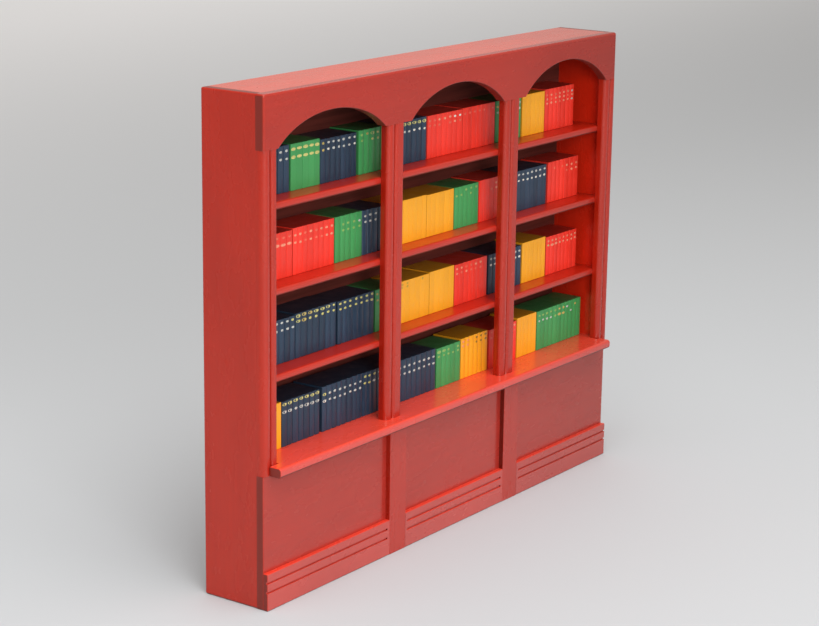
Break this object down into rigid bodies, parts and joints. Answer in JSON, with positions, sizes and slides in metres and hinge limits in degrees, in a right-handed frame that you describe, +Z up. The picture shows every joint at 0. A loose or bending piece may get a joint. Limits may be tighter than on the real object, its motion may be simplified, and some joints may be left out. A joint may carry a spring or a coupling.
{
  "type": "miniature bookcase",
  "caption": "Dolls house bookcase with an arched fascia, reeded columns, open shelves of dummy books, a rounded ledge and a closed base with a grooved plinth.",
  "frame": {"origin": "centre of the bounding box at the underside, on the surface that the bookcase stands on", "axes": "+Z up, +X along the width to the viewer's right, the open front faces -Y"},
  "size_m": [0.226, 0.0324, 0.18],
  "materials": {
    "mahogany_lacquer": "red mahogany stain under satin lacquer",
    "back_panel_wood": "thin stained panel, low sheen",
    "book_spines_navy": "painted strip with satin spines and foil dots",
    "book_spines_green": "painted strip with satin spines and foil dots",
    "book_spines_red": "painted strip with satin spines and foil dots",
    "book_spines_yellow": "painted strip with satin spines and foil dots"
  },
  "bodies": {
    "root": {"left_side": "mahogany_lacquer", "right_side": "mahogany_lacquer", "top_panel": "mahogany_lacquer", "bottom_panel": "mahogany_lacquer", "back_panel": "back_panel_wood", "lower_shelf": "mahogany_lacquer", "middle_shelf": "mahogany_lacquer", "upper_shelf": "mahogany_lacquer", "ledge_board": "mahogany_lacquer", "arched_fascia": "mahogany_lacquer", "outer_left_column": "mahogany_lacquer", "inner_left_column": "mahogany_lacquer", "inner_right_column": "mahogany_lacquer", "outer_right_column": "mahogany_lacquer", "front_board": "mahogany_lacquer", "left_stile": "mahogany_lacquer", "right_stile": "mahogany_lacquer", "left_plinth": "mahogany_lacquer", "middle_plinth": "mahogany_lacquer", "right_plinth": "mahogany_lacquer", "books_ledge_01_yellow": "book_spines_yellow", "books_ledge_02_navy": "book_spines_navy", "books_ledge_03_navy": "book_spines_navy", "books_ledge_04_navy": "book_spines_navy", "books_ledge_05_navy": "book_spines_navy", "books_ledge_06_green": "book_spines_green", "books_ledge_07_yellow": "book_spines_yellow", "books_ledge_08_red": "book_spines_red", "books_ledge_09_yellow": "book_spines_yellow", "books_ledge_10_green": "book_spines_green", "books_lower_01_navy": "book_spines_navy", "books_lower_02_navy": "book_spines_navy", "books_lower_03_navy": "book_spines_navy", "books_lower_04_green": "book_spines_green", "books_lower_05_yellow": "book_spines_yellow", "books_lower_06_yellow": "book_spines_yellow", "books_lower_07_red": "book_spines_red", "books_lower_08_navy": "book_spines_navy", "books_lower_09_yellow": "book_spines_yellow", "books_lower_10_red": "book_spines_red", "books_middle_01_red": "book_spines_red", "books_middle_02_red": "book_spines_red", "books_middle_03_green": "book_spines_green", "books_middle_04_navy": "book_spines_navy", "books_middle_05_yellow": "book_spines_yellow", "books_middle_06_yellow": "book_spines_yellow", "books_middle_07_green": "book_spines_green", "books_middle_08_red": "book_spines_red", "books_middle_09_navy": "book_spines_navy", "books_middle_10_red": "book_spines_red", "books_upper_01_navy": "book_spines_navy", "books_upper_02_green": "book_spines_green", "books_upper_03_navy": "book_spines_navy", "books_upper_04_green": "book_spines_green", "books_upper_05_navy": "book_spines_navy", "books_upper_06_red": "book_spines_red", "books_upper_07_red": "book_spines_red", "books_upper_08_green": "book_spines_green", "books_upper_09_yellow": "book_spines_yellow", "books_upper_10_red": "book_spines_red"}
  },
  "joints": []
}
